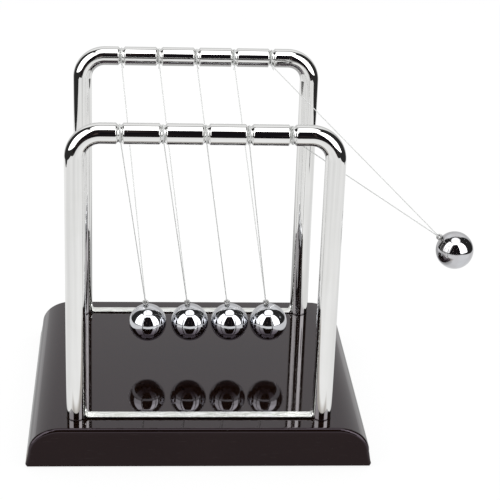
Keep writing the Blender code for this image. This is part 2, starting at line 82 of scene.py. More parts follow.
JOINTS = {joint["name"]: joint for joint in frame["record"]["behaviour"]["joints"]}
BALL_JOINTS = ("ball_1_lift", "ball_2_swing", "row_swing", "ball_4_swing", "ball_5_lift")
PIVOTS = {number: Vector(JOINTS[name]["pos_m"]) for number, name in zip(BALLS, BALL_JOINTS)}
PIVOT_ANGLE = radians(35)                   # round the rail, above level
PIVOT_Y = RAIL_Y - (TUBE_RADIUS + 0.3 * MM) * cos(PIVOT_ANGLE)
HANGERS = {1: "hanger_1", 2: "pendulum_2", 3: "pendulum_3", 4: "pendulum_4", 5: "hanger_5"}
ENDS = (("front", -1), ("rear", 1))         # name, sign of y


def sway_angle(number):
    """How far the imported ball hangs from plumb, towards +X."""
    low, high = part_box("ball_%d" % number)
    centre = (low + high) / 2
    return atan2(centre.x - PIVOTS[number].x, PIVOTS[number].z - centre.z)


SWAY = {number: sway_angle(number) for number in BALLS}


# -------------------------------------------------------------------- geometry
# A skin is (vertices, faces, vertex normals).
def smoothstep(low, high, value):
    t = max(0.0, min(1.0, (value - low) / (high - low)))
    return t * t * (3 - 2 * t)


def add_part(name, mesh, material, body, replaced=None):
    mesh.materials.append(material)
    part = bpy.data.objects.new(name, mesh)
    bpy.context.scene.collection.objects.link(part)
    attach(part, body)
    if replaced:
        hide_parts(replaced)


def skin_mesh(name, skin):
    """Smooth mesh that takes its shading from the skin's normals."""
    verts, faces, normals = skin
    mesh = bpy.data.meshes.new(name)
    mesh.from_pydata([tuple(v) for v in verts], [], faces)
    mesh.validate(clean_customdata=False)
    mesh.update()
    mesh.shade_smooth()
    mesh.normals_split_custom_set_from_vertices([tuple(n) for n in normals])
    return mesh


def merged_mesh(name, skin, sharp_angle, merge=2e-6):
    """Mesh with coincident points merged and every face pointing outwards. The
    skin's normals shade the smooth areas; a face that turns away from them by
    more than sharp_angle (rims, pockets) keeps its own normal."""
    verts, faces, normals = skin
    bm = bmesh.new()
    layer = bm.verts.layers.float_vector.new("exact_normal")
    bm_verts = [bm.verts.new(v) for v in verts]
    for vert, normal in zip(bm_verts, normals):
        vert[layer] = normal
    for face in faces:
        bm.faces.new([bm_verts[i] for i in face])
    bmesh.ops.remove_doubles(bm, verts=bm.verts, dist=merge)
    bmesh.ops.dissolve_degenerate(bm, edges=bm.edges, dist=merge)
    bmesh.ops.recalc_face_normals(bm, faces=bm.faces)
    mesh = bpy.data.meshes.new(name)
    bm.to_mesh(mesh)
    bm.free()
    mesh.shade_smooth()

    exact = mesh.attributes["exact_normal"]
    corner_normals = []
    for polygon in mesh.polygons:
        flat = polygon.normal
        for corner in polygon.loop_indices:
            normal = Vector(exact.data[mesh.loops[corner].vertex_index].vector)
            if normal.length < 0.5 or normal.normalized().dot(flat) < cos(sharp_angle):
                corner_normals.append(tuple(flat))
            else:
                corner_normals.append(tuple(normal.normalized()))
    mesh.normals_split_custom_set(corner_normals)
    mesh.attributes.remove(mesh.attributes["exact_normal"])
    return mesh


def joined(skins):
    """Several skins as one."""
    verts, faces, normals = [], [], []
    for skin_verts, skin_faces, skin_normals in skins:
        start = len(verts)
        faces += [tuple(start + i for i in face) for face in skin_faces]
        verts += skin_verts
        normals += skin_normals
    return verts, faces, normals


def loft_faces(rings, closed_section):
    """Faces between sections of equal length, and a face over each end."""
    count = len(rings[0])
    faces = []
    for a, b in zip(rings, rings[1:]):
        for k in range(count if closed_section else count - 1):
            j = (k + 1) % count
            faces.append((a[k], b[k], b[j], a[j]))
    faces.append(tuple(rings[0]))
    faces.append(tuple(reversed(rings[-1])))
    return faces


def frames_along(points, up, closed):
    """Tangents and a side vector that turns as little as possible along a path."""
    count = len(points)
    tangents = []
    for i in range(count):
        if closed:
            before, after = points[i - 1], points[(i + 1) % count]
        else:
            before, after = points[max(i - 1, 0)], points[min(i + 1, count - 1)]
        tangents.append((after - before).normalized())
    sides = []
    side = (up - tangents[0] * up.dot(tangents[0])).normalized()
    for tangent in tangents:
        side = (side - tangent * side.dot(tangent)).normalized()
        sides.append(side.copy())
    if closed:
        # spread the twist that is left over, so the seam meets
        first = tangents[0]
        last = (sides[-1] - first * sides[-1].dot(first)).normalized()
        twist = atan2(last.cross(sides[0]).dot(first), last.dot(sides[0]))
        for i in range(count):
            sides[i] = Matrix.Rotation(twist * i / count, 3, tangents[i]) @ sides[i]
    return tangents, sides


def tube(points, radii, sides, up=Vector((0, 1, 0)), ends="round"):
    """Skin of a tube along points. ends: "round", "open" or "closed" (a loop)."""
    count = len(points)
    closed = ends == "closed"
    if not hasattr(radii, "__len__"):
        radii = [radii] * count
    tangents, side_ways = frames_along(points, up, closed)
    verts, normals, faces, rings = [], [], [], []

    def add_ring(point, tangent, u, radius, slope):
        w = tangent.cross(u)
        ring = []
        for k in range(sides):
            angle = 2 * pi * k / sides
            outward = cos(angle) * u + sin(angle) * w
            ring.append(len(verts))
            verts.append(point + radius * outward)
            normals.append((outward - slope * tangent).normalized())
        rings.append(ring)

    def add_cap(i, sign, degrees):
        """Rings of a slightly flattened round end at station i."""
        for angle in map(radians, degrees):
            shift = sign * tangents[i] * radii[i] * sin(angle) * 0.8
            add_ring(points[i] + shift, tangents[i], side_ways[i],
                     radii[i] * cos(angle), -sign * tan(angle))

    if ends == "round":
        add_cap(0, -1, (75, 50, 25))
    for i in range(count):
        slope = 0
        if closed or 0 < i < count - 1:
            after = (i + 1) % count
            length = (points[after] - points[i - 1]).length
            if length > 0:
                slope = (radii[after] - radii[i - 1]) / length
        add_ring(points[i], tangents[i], side_ways[i], radii[i], slope)
    if ends == "round":
        add_cap(-1, 1, (25, 50, 75))

    for i in range(len(rings) if closed else len(rings) - 1):
        a, b = rings[i], rings[(i + 1) % len(rings)]
        for k in range(sides):
            j = (k + 1) % sides
            faces.append((a[k], a[j], b[j], b[k]))
    if ends == "round":
        faces.append(tuple(reversed(rings[0])))
        faces.append(tuple(rings[-1]))
    return verts, faces, normals


def turned(profile, sides, centre):
    """Turn (radius, height, radial normal, vertical normal) about the vertical
    through centre, inner points first; a radius of 0 makes one point."""
    verts, normals, faces, rings = [], [], [], []
    for radius, z, normal_r, normal_z in profile:
        ring = []
        for k in range(sides if radius > 0 else 1):
            angle = 2 * pi * k / sides
            ring.append(len(verts))
            if radius > 0:
                verts.append(centre + Vector((radius * cos(angle), radius * sin(angle), z)))
                normals.append(Vector((normal_r * cos(angle), normal_r * sin(angle), normal_z)))
            else:
                verts.append(centre + Vector((0, 0, z)))
                normals.append(Vector((0, 0, normal_z)))
        rings.append(ring)
    for a, b in zip(rings, rings[1:]):
        for k in range(sides):
            j = (k + 1) % sides
            if len(a) == 1:
                faces.append((b[k], b[j], a[0]))
            elif len(b) == 1:
                faces.append((b[0], a[j], a[k]))
            else:
                faces.append((b[k], b[j], a[j], a[k]))
    return verts, faces, normals


# ------------------------------------------------------------------- materials
class Nodes:
    """Small helper for building a node tree."""

    def __init__(self, tree):
        self.tree = tree
        self.column = -200

    def add(self, kind, **properties):
        node = self.tree.nodes.new(kind)
        self.column -= 40
        node.location = (self.column, 0)
        for name, value in properties.items():
            setattr(node, name, value)
        return node

    def put(self, socket, value):
        """Link a socket to an input, or set the input's value."""
        if isinstance(value, bpy.types.NodeSocket):
            self.tree.links.new(value, socket)
        else:
            socket.default_value = value

    def math(self, operation, *values):
        node = self.add("ShaderNodeMath", operation=operation)
        for socket, value in zip(node.inputs, values):
            self.put(socket, value)
        return node.outputs[0]

    def scaled(self, value, by, to):
        """value * by, added to `to`."""
        return self.math('MULTIPLY_ADD', value, by, to)

    def inverse(self, value):
        return self.math('SUBTRACT', 1.0, value)

    def step(self, value, low, high):
        """Smooth step from 0 at low to 1 at high."""
        node = self.add("ShaderNodeMapRange", interpolation_type='SMOOTHSTEP')
        self.put(node.inputs["Value"], value)
        node.inputs["From Min"].default_value = low
        node.inputs["From Max"].default_value = high
        return node.outputs["Result"]

    def fit(self, value, to, source=(0.3, 0.7)):
        """Map the source range, by default the usual spread of a noise, onto `to`."""
        node = self.add("ShaderNodeMapRange")
        self.put(node.inputs["Value"], value)
        node.inputs["From Min"].default_value, node.inputs["From Max"].default_value = source
        node.inputs["To Min"].default_value, node.inputs["To Max"].default_value = to
        return node.outputs["Result"]

    def blend(self, factor, off, on):
        """From `off` at factor 0 to `on` at factor 1."""
        return self.fit(factor, to=(off, on), source=(0.0, 1.0))

    def noise(self, vector, scale, detail=3.0, rough=0.5, warp=0.0):
        node = self.add("ShaderNodeTexNoise")
        self.put(node.inputs["Vector"], vector)
        node.inputs["Scale"].default_value = scale
        node.inputs["Detail"].default_value = detail
        node.inputs["Roughness"].default_value = rough
        node.inputs["Distortion"].default_value = warp
        return node.outputs["Fac"]

    def cells(self, vector, scale):
        """Distance to the nearest of a scatter of points."""
        node = self.add("ShaderNodeTexVoronoi")
        self.put(node.inputs["Vector"], vector)
        node.inputs["Scale"].default_value = scale
        return node.outputs["Distance"]

    def stretch(self, vector, scale, turn=(0, 0, 0)):
        """Scale and turn the coordinates; a small scale draws a texture out."""
        node = self.add("ShaderNodeMapping")
        self.put(node.inputs["Vector"], vector)
        node.inputs["Scale"].default_value = scale
        node.inputs["Rotation"].default_value = turn
        return node.outputs["Vector"]

    def mix(self, factor, a, b):
        """Mix two colours, each a socket or (red, green, blue)."""
        node = self.add("ShaderNodeMix", data_type='RGBA')
        self.put(node.inputs[0], factor)
        for socket, colour in ((node.inputs[6], a), (node.inputs[7], b)):
            self.put(socket, (*colour, 1) if isinstance(colour, tuple) else colour)
        return node.outputs[2]

    def bump(self, height, strength, depth, under=None):
        """Bumps of a depth in metres, laid over the normal `under`."""
        node = self.add("ShaderNodeBump")
        node.inputs["Strength"].default_value = strength
        node.inputs["Distance"].default_value = depth
        self.put(node.inputs["Height"], height)
        if under is not None:
            self.put(node.inputs["Normal"], under)
        return node.outputs["Normal"]


class Surface(Nodes):
    """A new material: its Principled shader and object coordinates."""

    def __init__(self, name):
        self.material = bpy.data.materials.new(name)
        self.material.use_nodes = True
        super().__init__(self.material.node_tree)
        self.shader = self.tree.nodes["Principled BSDF"]
        self.coords = self.add("ShaderNodeTexCoord").outputs["Object"]

    def finish(self, colour, roughness, normal, metallic=0.0):
        inputs = self.shader.inputs
        inputs["Metallic"].default_value = metallic
        self.put(inputs["Roughness"], roughness)
        self.put(inputs["Base Color"], colour)
        self.put(inputs["Normal"], normal)
        return self.material


def chrome_material():
    """Bright chrome plate on a hand-polished steel tube: faint long waves left
    by the polishing wheel, hairline scratches, and a thin haze of handling."""
    s = Surface("chrome_plate")
    waves = s.noise(s.coords, scale=55.0, detail=2.0, rough=0.4)
    along = s.stretch(s.coords, scale=(1.0, 1.0, 0.03), turn=(0.0, 0.35, 0.2))
    hair = s.noise(along, scale=5200.0, detail=2.0, rough=0.6)
    haze = s.noise(s.coords, scale=38.0, detail=4.0, rough=0.62, warp=0.6)
    smudge = s.step(haze, low=0.52, high=0.74)
    scratch = s.step(hair, low=0.70, high=0.80)
    roughness = s.scaled(smudge, by=0.04, to=0.016)
    roughness = s.scaled(scratch, by=0.05, to=roughness)
    colour = s.mix(s.step(haze, low=0.35, high=0.8), (0.765, 0.765, 0.757), (0.735, 0.735, 0.722))
    normal = s.bump(waves, strength=0.05, depth=0.0006)
    normal = s.bump(hair, strength=0.012, depth=0.00002, under=normal)
    return s.finish(colour, roughness, normal, metallic=1.0)


def strip_material():
    """Chrome plate over a brazed strip: wavier than the tube, with a patchy
    greenish film of heat tint."""
    s = Surface("chrome_plate_strip")
    waves = s.noise(s.stretch(s.coords, scale=(0.55, 2.6, 1.0)),
                    scale=260.0, detail=3.0, rough=0.55, warp=0.8)
    fine = s.noise(s.stretch(s.coords, scale=(0.12, 1.0, 1.0)), scale=2400.0, rough=0.6)
    film = s.noise(s.stretch(s.coords, scale=(0.35, 1.6, 1.0)),
                   scale=300.0, detail=4.0, rough=0.6, warp=1.2)
    roughness = s.scaled(s.step(film, low=0.4, high=0.7), by=0.08, to=0.035)
    colour = s.mix(s.step(film, low=0.38, high=0.66), (0.97, 0.975, 0.965), (0.72, 0.735, 0.69))
    normal = s.bump(waves, strength=0.35, depth=0.0006)
    normal = s.bump(fine, strength=0.15, depth=0.00003, under=normal)
    return s.finish(colour, roughness, normal, metallic=1.0)


def ball_material(number):
    """Ground and polished bearing steel: a faint cool tint, very fine wheel
    lines, and finger haze, strongest on ball 5."""
    s = Surface("polished_steel_%d" % number)
    handled = number == 5
    dull = (0.50, 0.49, 0.50) if handled else (0.54, 0.545, 0.57)
    # each ball has its own turn of the pattern
    shift = s.stretch(s.coords, scale=(1, 1, 1),
                      turn=(0.37 * number, 0.61 * number, 0.23 * number))
    haze = s.noise(shift, scale=95.0, detail=5.0, rough=0.6, warp=0.8)
    lines = s.noise(s.stretch(shift, scale=(1.0, 0.06, 1.0)), scale=4300.0, detail=2.0)
    across = s.stretch(shift, scale=(0.12, 1.0, 1.0), turn=(0.4, 0.2, 0.9))
    scuff = s.step(s.noise(across, scale=2600.0, detail=1.0), low=0.71, high=0.78)
    roughness = s.scaled(s.step(haze, low=0.5 - 0.14 * handled, high=0.78),
                         by=0.075 + 0.05 * handled, to=0.03 + 0.02 * handled)
    roughness = s.scaled(scuff, by=0.08, to=roughness)
    colour = s.mix(s.step(haze, low=0.3, high=0.75), (0.60, 0.61, 0.635), dull)
    normal = s.bump(lines, strength=0.03, depth=0.00002)
    normal = s.bump(haze, strength=0.03, depth=0.00012, under=normal)
    return s.finish(colour, roughness, normal, metallic=1.0)


def gloss_black_material():
    """High-gloss moulded black with a warm cast: faint flow ripple in the
    surface, hairline wiping scratches, and a few specks of dust."""
    s = Surface("gloss_black_moulding")
    ripple = s.noise(s.coords, scale=95.0, detail=2.0, rough=0.45)
    fine = s.noise(s.coords, scale=900.0, rough=0.55)
    wipe_x = s.noise(s.stretch(s.coords, scale=(0.05, 1.0, 1.0), turn=(0, 0, 0.5)),
                     scale=2600.0, detail=1.0)
    wipe_y = s.noise(s.stretch(s.coords, scale=(1.0, 0.06, 1.0), turn=(0, 0, -0.3)),
                     scale=2300.0, detail=1.0)
    hair = s.math('MAXIMUM', s.step(wipe_x, low=0.69, high=0.75),
                  s.step(wipe_y, low=0.70, high=0.76))
    haze = s.noise(s.coords, scale=22.0, detail=4.0, rough=0.6, warp=0.4)
    speck_size = 0.022      # as a share of the dust pattern's cell
    speck = s.math('LESS_THAN', s.cells(s.coords, scale=210.0), speck_size)
    roughness = s.scaled(s.step(haze, low=0.42, high=0.75), by=0.035, to=0.018)
    roughness = s.scaled(hair, by=0.05, to=roughness)
    scratch_share, dust_share = 0.03, 0.25
    colour = s.mix(s.step(haze, low=0.3, high=0.8),
                   (0.0050, 0.0022, 0.0015), (0.0064, 0.0030, 0.0021))
    colour = s.mix(s.math('MULTIPLY', hair, scratch_share), colour, (0.25, 0.24, 0.23))
    colour = s.mix(s.math('MULTIPLY', speck, dust_share), colour, (0.42, 0.40, 0.38))
    s.put(s.shader.inputs["IOR"], 1.47)
    s.put(s.shader.inputs["Specular Tint"], (1.0, 0.84, 1.0, 1))
    normal = s.bump(ripple, strength=0.02, depth=0.0004)
    normal = s.bump(fine, strength=0.015, depth=0.00003, under=normal)
    return s.finish(colour, roughness, normal)


def matt_black_material():
    """Spark-eroded texture of a moulded cover, with scuffs."""
    s = Surface("textured_black_moulding")
    grain = s.noise(s.coords, scale=1700.0, rough=0.6)
    height = s.scaled(s.cells(s.coords, scale=1300.0), by=0.6, to=grain)
    patches = s.noise(s.coords, scale=30.0, detail=4.0, rough=0.6)
    along = s.stretch(s.coords, scale=(1.0, 0.07, 1.0), turn=(0, 0, 0.6))
    scuff = s.step(s.noise(along, scale=900.0, detail=2.0), low=0.66, high=0.76)
    roughness = s.fit(patches, to=(0.48, 0.6))
    scuff_share = 0.12
    colour = s.mix(s.step(patches, low=0.3, high=0.8),
                   (0.020, 0.020, 0.021), (0.030, 0.030, 0.031))
    colour = s.mix(s.math('MULTIPLY', scuff, scuff_share), colour, (0.16, 0.16, 0.16))
    return s.finish(colour, roughness, s.bump(height, strength=0.35, depth=0.00008))


def rubber_material():
    """Non-slip rubber sheet with a pebbled press mark and some lint."""
    s = Surface("pebbled_rubber_sheet")
    pebbles = s.cells(s.coords, scale=620.0)
    fine = s.noise(s.coords, scale=2400.0, rough=0.6)
    height = s.scaled(fine, by=0.3, to=pebbles)
    threads = s.stretch(s.coords, scale=(0.08, 1.0, 1.0), turn=(0, 0, 0.8))
    lint = s.step(s.noise(threads, scale=700.0, rough=0.6), low=0.70, high=0.76)
    worn = s.noise(s.coords, scale=26.0, detail=4.0, rough=0.6)
    lint_share = 0.18
    colour = s.mix(s.step(worn, low=0.35, high=0.75),
                   (0.022, 0.022, 0.022), (0.040, 0.040, 0.039))
    colour = s.mix(s.math('MULTIPLY', lint, lint_share), colour, (0.4, 0.4, 0.38))
    roughness = s.fit(worn, to=(0.78, 0.92))
    return s.finish(colour, roughness, s.bump(height, strength=0.6, depth=0.00015))


def nylon_material():
    """Clear monofilament: slightly milky and unevenly cloudy."""
    s = Surface("nylon_monofilament")
    cloud = s.noise(s.coords, scale=45.0, rough=0.55)
    fine = s.noise(s.coords, scale=1500.0, detail=2.0)
    s.put(s.shader.inputs["Transmission Weight"], 0.15)
    s.put(s.shader.inputs["IOR"], 1.45)
    roughness = s.fit(cloud, to=(0.18, 0.34))
    colour = s.mix(cloud, (0.64, 0.65, 0.64), (0.72, 0.73, 0.72))
    return s.finish(colour, roughness, s.bump(fine, strength=0.05, depth=0.00001))


def satin_metal(name, marks, stretch, wear_scale, roughness, colours, bump):
    """Satin metal whose fine marks set gloss and relief, and which dulls from
    the first colour to the second where it is worn."""
    s = Surface(name)
    vector = s.stretch(s.coords, scale=stretch) if stretch else s.coords
    mark = s.noise(vector, **marks)
    wear = s.noise(s.coords, scale=wear_scale, detail=3.0, rough=0.6)
    return s.finish(s.mix(s.step(wear, low=0.4, high=0.7), *colours),
                    s.fit(mark, to=roughness), s.bump(mark, **bump), metallic=1.0)


CHROME = chrome_material()
STRIP = strip_material()
GLOSS = gloss_black_material()
MATT = matt_black_material()
RUBBER = rubber_material()
NYLON = nylon_material()
EYELET = satin_metal(
    "plated_eyelet", marks=dict(scale=2600.0, detail=3.0, rough=0.6), stretch=None,
    wear_scale=420.0, roughness=(0.16, 0.34),
    colours=((0.47, 0.47, 0.465), (0.27, 0.27, 0.26)), bump=dict(strength=0.2, depth=0.00003))
ZINC = satin_metal(
    "zinc_plated_screw", marks=dict(scale=900.0, detail=4.0, rough=0.65), stretch=None,
    wear_scale=260.0, roughness=(0.26, 0.46),
    colours=((0.62, 0.62, 0.60), (0.46, 0.47, 0.50)), bump=dict(strength=0.15, depth=0.00003))
BRASS = satin_metal(
    "turned_brass", marks=dict(scale=5200.0, detail=2.0, rough=0.5), stretch=(0.1, 0.1, 1.0),
    wear_scale=300.0, roughness=(0.22, 0.4),
    colours=((0.72, 0.55, 0.28), (0.55, 0.40, 0.20)), bump=dict(strength=0.15, depth=0.00002))
STEEL = {number: ball_material(number) for number in BALLS}

SLOT_MATERIALS = {
    "base_gloss": GLOSS, "base_matt": MATT, "pad_rubber": RUBBER, "chrome_tube": CHROME,
    "ball_steel": STEEL[1], "eyelet_steel": EYELET, "nylon": NYLON, "screw_steel": ZINC,
    "plug_brass": BRASS}


def dress_cad_pieces():
    """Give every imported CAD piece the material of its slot."""
    for subpart in frame["record"]["subparts"]:
        node = frame["nodes"][subpart["node"]]
        material = SLOT_MATERIALS[subpart["material_slot"]]
        if not node.data.materials:
            node.data.materials.append(material)
        for slot in node.material_slots:
            slot.link = 'OBJECT'
            slot.material = material


dress_cad_pieces()

# ------------------------------------------------------------------------ base
SHOULDER_X, SHOULDER_Z = 17.0 * MM, 13.5 * MM   # half axes of the upper corners
END_LEAN = 1.6 * MM                             # of an end, from z = 0 to the shoulder
SHOULDER_START = BASE_TOP - SHOULDER_Z
FLAT_HALF_WIDTH = BASE_HALF_WIDTH - END_LEAN - SHOULDER_X
RIM_ROUND = 0.9 * MM
LONG_EDGE_ROUND = 1.9 * MM                      # front and rear edges
BASE_WALL = 2.6 * MM


def base_section():
    """Half outline of the base seen from the front, from the lower rim of the
    +X end to short of the top centre: (x, z, normal x, normal z)."""
    slope = END_LEAN / SHOULDER_START
    end_normal = Vector((1, slope)).normalized()
    rim_x = BASE_HALF_WIDTH - END_LEAN * BASE_BOTTOM / SHOULDER_START - RIM_ROUND
    rim_z = BASE_BOTTOM + RIM_ROUND
    section = []
    for i in range(9):
        angle = -pi / 2 + (pi / 2) * i / 8
        section.append((rim_x + RIM_ROUND * cos(angle), rim_z + RIM_ROUND * sin(angle),
                        cos(angle), sin(angle)))
    for k in range(1, 5):
        z = rim_z + (SHOULDER_START - rim_z - 0.5 * MM) * k / 4
        section.append((BASE_HALF_WIDTH - slope * z, z, end_normal.x, end_normal.y))
    steps = 36
    for i in range(steps + 1):
        angle = pi / 2 * i / steps
        normal = Vector((cos(angle) / SHOULDER_X, sin(angle) / SHOULDER_Z)).normalized()
        # ease out of the leaning end
        weight = smoothstep(0.0, 0.06, i / steps)
        normal = (normal * weight + end_normal * (1 - weight)).normalized()
        section.append((FLAT_HALF_WIDTH + SHOULDER_X * cos(angle),
                        SHOULDER_START + SHOULDER_Z * sin(angle), normal.x, normal.y))
    for k in range(1, 6):
        section.append((FLAT_HALF_WIDTH * (1 - k / 6), BASE_TOP, 0.0, 1.0))
    return section


def base_stations():
    """Front to rear: (y, normal y, how far the section shrinks there)."""
    steps, radius = 14, LONG_EDGE_ROUND
    edge_y = BASE_DEPTH / 2 - radius
    rounding = []
    for k in range(steps + 1):
        angle = pi / 2 * k / steps
        rounding.append((edge_y + radius * sin(angle), sin(angle), radius * (1 - cos(angle))))
    front = [(-y, -normal_y, shrink) for y, normal_y, shrink in reversed(rounding)]
    middle = [(-edge_y + 2 * edge_y * k / 8, 0.0, 0.0) for k in range(1, 8)]
    return front + middle + rounding


def base_skin():
    """A solid outer form with a pocket cut from below."""
    half = base_section()
    mirrored = [(-x, z, -normal_x, normal_z) for x, z, normal_x, normal_z in reversed(half)]
    section = half + [(0.0, BASE_TOP, 0.0, 1.0)] + mirrored
    verts, normals, rings = [], [], []
    for y, normal_y, shrink in base_stations():
        across = sqrt(max(0.0, 1 - normal_y * normal_y))
        ring = []
        for x, z, normal_x, normal_z in section:
            # the lower rim keeps its own small radius
            shrink_z = shrink * (1.0 if normal_z > 0 else 0.06)
            ring.append(len(verts))
            verts.append(Vector((x - normal_x * shrink, y, z - normal_z * shrink_z)))
            normals.append(Vector((normal_x * across, normal_y, normal_z * across)).normalized())
        rings.append(ring)
    faces = loft_faces(rings, closed_section=False)

    # pocket: from the loop of lower edges to the rim, up the wall and over
    rim = [ring[0] for ring in rings] + [ring[-1] for ring in reversed(rings)]
    pocket_x = BASE_HALF_WIDTH - BASE_WALL - RIM_ROUND
    pocket_y = BASE_DEPTH / 2 - BASE_WALL
    scale_y = pocket_y / (BASE_DEPTH / 2 - LONG_EDGE_ROUND)
    levels = (      # half width, z
        (pocket_x, BASE_BOTTOM),
        (pocket_x - 3.5 * MM, SHOULDER_START + 2 * MM),
        (FLAT_HALF_WIDTH, BASE_TOP - BASE_WALL))
    previous = rim
    for half_width, z in levels:
        current = []
        for i in rim:
            x = half_width if verts[i].x > 0 else -half_width
            y = max(-pocket_y, min(pocket_y, verts[i].y * scale_y))
            current.append(len(verts))
            verts.append(Vector((x, y, z)))
            normals.append(Vector((0, 0, -1)))
        for k in range(len(rim)):
            j = (k + 1) % len(rim)
            faces.append((previous[k], current[k], current[j], previous[j]))
        previous = current
    faces.append(tuple(previous))
    return verts, faces, normals


add_part("base_moulding", merged_mesh("base_moulding", base_skin(), sharp_angle=radians(24)),
         GLOSS, "stand", "base_shell")

# ---------------------------------------------------------------------- frames
# turned-in edge of a cut tube end: height above the foot, loss of radius (mm)
CUT_END = ((0.0, 0.45), (0.05, 0.25), (0.18, 0.08), (0.4, 0.0), (1.0, 0.0), (3.0, 0.0))
LIP_HEIGHT = 0.06 * MM                      # rolled up beside each groove
LIP_WIDTH = 0.28 * MM
GROOVE_REACH = GROOVE_HALF_WIDTH + 0.55 * MM


def groove_depth(offset):
    """Depth of a rolled groove at a distance along the rail from its middle:
    round bottom, steep flanks."""
    return (TUBE_RADIUS - GROOVE_RADIUS) * (
        0.5 + 0.5 * cos(pi * min(1.0, (offset / GROOVE_HALF_WIDTH) ** 1.7)))


def frame_stations():
    """(x, z, radius) up the left post, round its bend and along the rail."""
    stations = [(-POST_X, FOOT_Z + height * MM, TUBE_RADIUS - loss * MM)
                for height, loss in CUT_END]
    bend_z = RAIL_Z - BEND_RADIUS
    for k in range(1, 12):
        z = FOOT_Z + 3.0 * MM + (bend_z - FOOT_Z - 3.5 * MM) * k / 12
        stations.append((-POST_X, z, TUBE_RADIUS))
    steps = 28
    for i in range(steps + 1):
        angle = pi - pi / 2 * i / steps
        stations.append((-POST_X + BEND_RADIUS + BEND_RADIUS * cos(angle),
                         bend_z + BEND_RADIUS * sin(angle), TUBE_RADIUS))
    grooves = [PIVOTS[number].x for number in BALLS]
    stops = [-POST_X + BEND_RADIUS] + grooves + [POST_X - BEND_RADIUS]
    steps = 30
    rail = [x + (-1 + 2 * i / steps) * GROOVE_REACH for x in grooves for i in range(steps + 1)]
    rail += [(a + b) / 2 for a, b in zip(stops, stops[1:])]
    for x in sorted(rail):
        offset = min(abs(x - groove) for groove in grooves)
        lip = LIP_HEIGHT * exp(-((offset - GROOVE_HALF_WIDTH * 1.02) / LIP_WIDTH) ** 2)
        stations.append((x, RAIL_Z, TUBE_RADIUS - groove_depth(offset) + lip))
    return stations


def frame_path(side):
    """Centre line and radii of a frame, left foot to right foot."""
    lean = (RAIL_Y - FOOT_Y) / (RAIL_Z - FOOT_Z)
    path = [(Vector((x, side * (FOOT_Y + (z - FOOT_Z) * lean), z)), radius)
            for x, z, radius in frame_stations()]
    # the right post and bend mirror the left ones
    left = [(point, radius) for point, radius in path
            if point.x <= -POST_X + BEND_RADIUS + 1e-9]
    path += [(Vector((-point.x, point.y, point.z)), radius) for point, radius in reversed(left)]
    return [point for point, _ in path], [radius for _, radius in path]


def frame_tube(end, side):
    """Hollow bent tube, open at both feet."""
    points, radii = frame_path(side)
    sides = 72
    outer = tube(points, radii, sides, ends="open")
    bores = [max(radius - TUBE_WALL, TUBE_MIN_BORE) for radius in radii]
    verts, faces, normals = tube(points, bores, sides, ends="open")
    inner = (verts, [tuple(reversed(face)) for face in faces], [-n for n in normals])
    verts, faces, normals = joined([outer, inner])
    to_inner = len(outer[0])
    last = (len(points) - 1) * sides
    for k in range(sides):
        j = (k + 1) % sides
        faces.append((k, to_inner + k, to_inner + j, j))
        faces.append((last + k, last + j, to_inner + last + j, to_inner + last + k))
    name = end + "_frame_tube"
    add_part(name, skin_mesh(name, (verts, faces, normals)), CHROME,
             "stand", end + "_frame")


# ------------------------------------------------------------------- tie strips
STRIP_HALF_WIDTH = 2.9 * MM
STRIP_THICKNESS = 0.7 * MM
STRIP_ROUND = 0.24 * MM                     # edge radius
STRIP_CROWN = 0.10 * MM
STRIP_LIFT = {-1: 0.45 * MM, 1: 0.18 * MM}  # underside above the feet, by side
# braze on the (left, right) post, by side: width along the strip, height
BRAZE = {-1: ((1.0 * MM, 5.2 * MM), (0.9 * MM, 2.0 * MM)),
         1: ((1.0 * MM, 5.2 * MM), (1.1 * MM, 4.0 * MM))}
BRAZE_PINCH_HEIGHT = 5.2 * MM               # where the pinch is fully grown
BRAZE_TILT = 0.98                           # steepest tilt of the braze's normals


def strip_section(bottom):
    """Closed section of the strip: (y, z, normal y, normal z)."""
    flat = STRIP_HALF_WIDTH - STRIP_ROUND
    top = bottom + STRIP_THICKNESS
    edge = []
    for i in range(5):
        angle = -pi / 2 + pi / 2 * i / 4
        edge.append((flat + STRIP_ROUND * cos(angle),
                     bottom + STRIP_ROUND + STRIP_ROUND * sin(angle), cos(angle), sin(angle)))
    for i in range(1, 6):
        angle = pi / 2 * i / 5
        edge.append((flat + STRIP_ROUND * cos(angle),
                     top - STRIP_ROUND + STRIP_ROUND * sin(angle), cos(angle), sin(angle)))
    crown = []
    for i in range(1, 10):
        y = flat * (1 - 2 * i / 10)
        # slightly crowned, and shaded as if rolled a touch towards the front
        crown.append((y, top + STRIP_CROWN * (1 - (y / flat) ** 2), 0.07 * y / flat - 0.07, 1.0))
    return edge + crown + [(-y, z, -normal_y, normal_z)
                           for y, z, normal_y, normal_z in reversed(edge)]


def braze_run(width, height):
    """Quarter curve up the inner side of a post: (x, lift, slope)."""
    post_face = POST_X - TUBE_RADIUS
    run = []
    for i in range(17):
        angle = pi / 2 * i / 16
        run.append((post_face - width + (width + 0.15 * MM) * sin(angle),
                    height * (1 - cos(angle)), sin(angle)))
    return run + [(post_face + 0.9 * MM, height, 1.0)]


